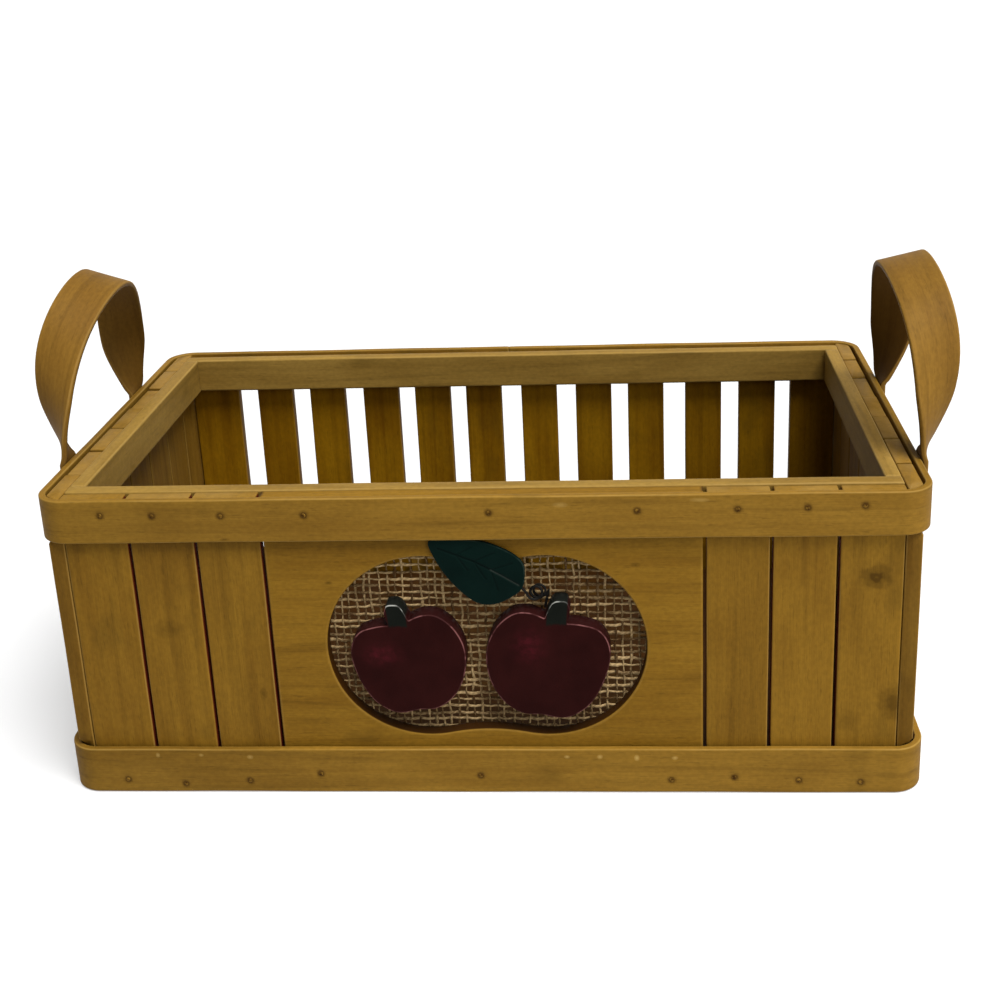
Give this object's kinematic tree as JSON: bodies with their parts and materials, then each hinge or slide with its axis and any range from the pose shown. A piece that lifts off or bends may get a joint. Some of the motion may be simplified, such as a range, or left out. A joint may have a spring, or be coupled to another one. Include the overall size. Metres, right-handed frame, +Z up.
{
  "type": "wooden basket",
  "caption": "Rectangular slatted wooden basket with nailed bands, two bent-wood end handles and a front cutout holding apple ornaments on burlap.",
  "frame": {"origin": "middle of the basket's foot, on the surface that it stands on", "axes": "+X along the basket to the right as seen from the ornamented front, +Y to the back, +Z up"},
  "size_m": [0.4116, 0.21, 0.2198],
  "materials": {
    "band_wood": "golden-brown stained veneer, satin",
    "inside_wood": "brown stained lath, satin",
    "front_wood": "golden-brown stained board, satin",
    "back_wood": "brown stained lath, satin",
    "side_wood": "grey-brown stained lath, satin",
    "handle_wood": "golden-brown stained bent veneer, satin",
    "burlap": "open plain weave of jute yarn",
    "apple_paint": "dark burgundy paint, edges sanded",
    "leaf_paint": "very dark green paint",
    "wire": "dark annealed wire",
    "brad": "dull steel, stained with the wood"
  },
  "bodies": {
    "root": {"top_outer_band": "band_wood", "bottom_outer_band": "band_wood", "front_rim_strip": "inside_wood", "back_rim_strip": "inside_wood", "left_rim_strip": "inside_wood", "right_rim_strip": "inside_wood", "bottom_board": "inside_wood", "front_slat_1": "front_wood", "front_slat_2": "front_wood", "front_slat_3": "front_wood", "front_slat_4": "front_wood", "front_slat_5": "front_wood", "front_slat_6": "front_wood", "front_panel": "front_wood", "back_slat_1": "back_wood", "back_slat_2": "back_wood", "back_slat_3": "back_wood", "back_slat_4": "back_wood", "back_slat_5": "back_wood", "back_slat_6": "back_wood", "back_slat_7": "back_wood", "back_slat_8": "back_wood", "back_slat_9": "back_wood", "back_slat_10": "back_wood", "back_slat_11": "back_wood", "back_slat_12": "back_wood", "left_slat_1": "side_wood", "left_slat_2": "side_wood", "left_slat_3": "side_wood", "left_slat_4": "side_wood", "left_slat_5": "side_wood", "left_slat_6": "side_wood", "left_slat_7": "side_wood", "right_slat_1": "side_wood", "right_slat_2": "side_wood", "right_slat_3": "side_wood", "right_slat_4": "side_wood", "right_slat_5": "side_wood", "right_slat_6": "side_wood", "right_slat_7": "side_wood", "burlap": "burlap", "left_apple": "apple_paint", "right_apple": "apple_paint", "leaf": "leaf_paint", "wire_tendril": "wire", "left_handle": "handle_wood", "right_handle": "handle_wood", "top_band_nail_1": "brad", "top_band_nail_2": "brad", "top_band_nail_3": "brad", "top_band_nail_4": "brad", "top_band_nail_5": "brad", "top_band_nail_6": "brad", "top_band_nail_7": "brad", "top_band_nail_8": "brad", "top_band_nail_9": "brad", "left_handle_nail_1": "brad", "left_handle_nail_2": "brad", "right_handle_nail_1": "brad", "right_handle_nail_2": "brad"}
  },
  "joints": []
}
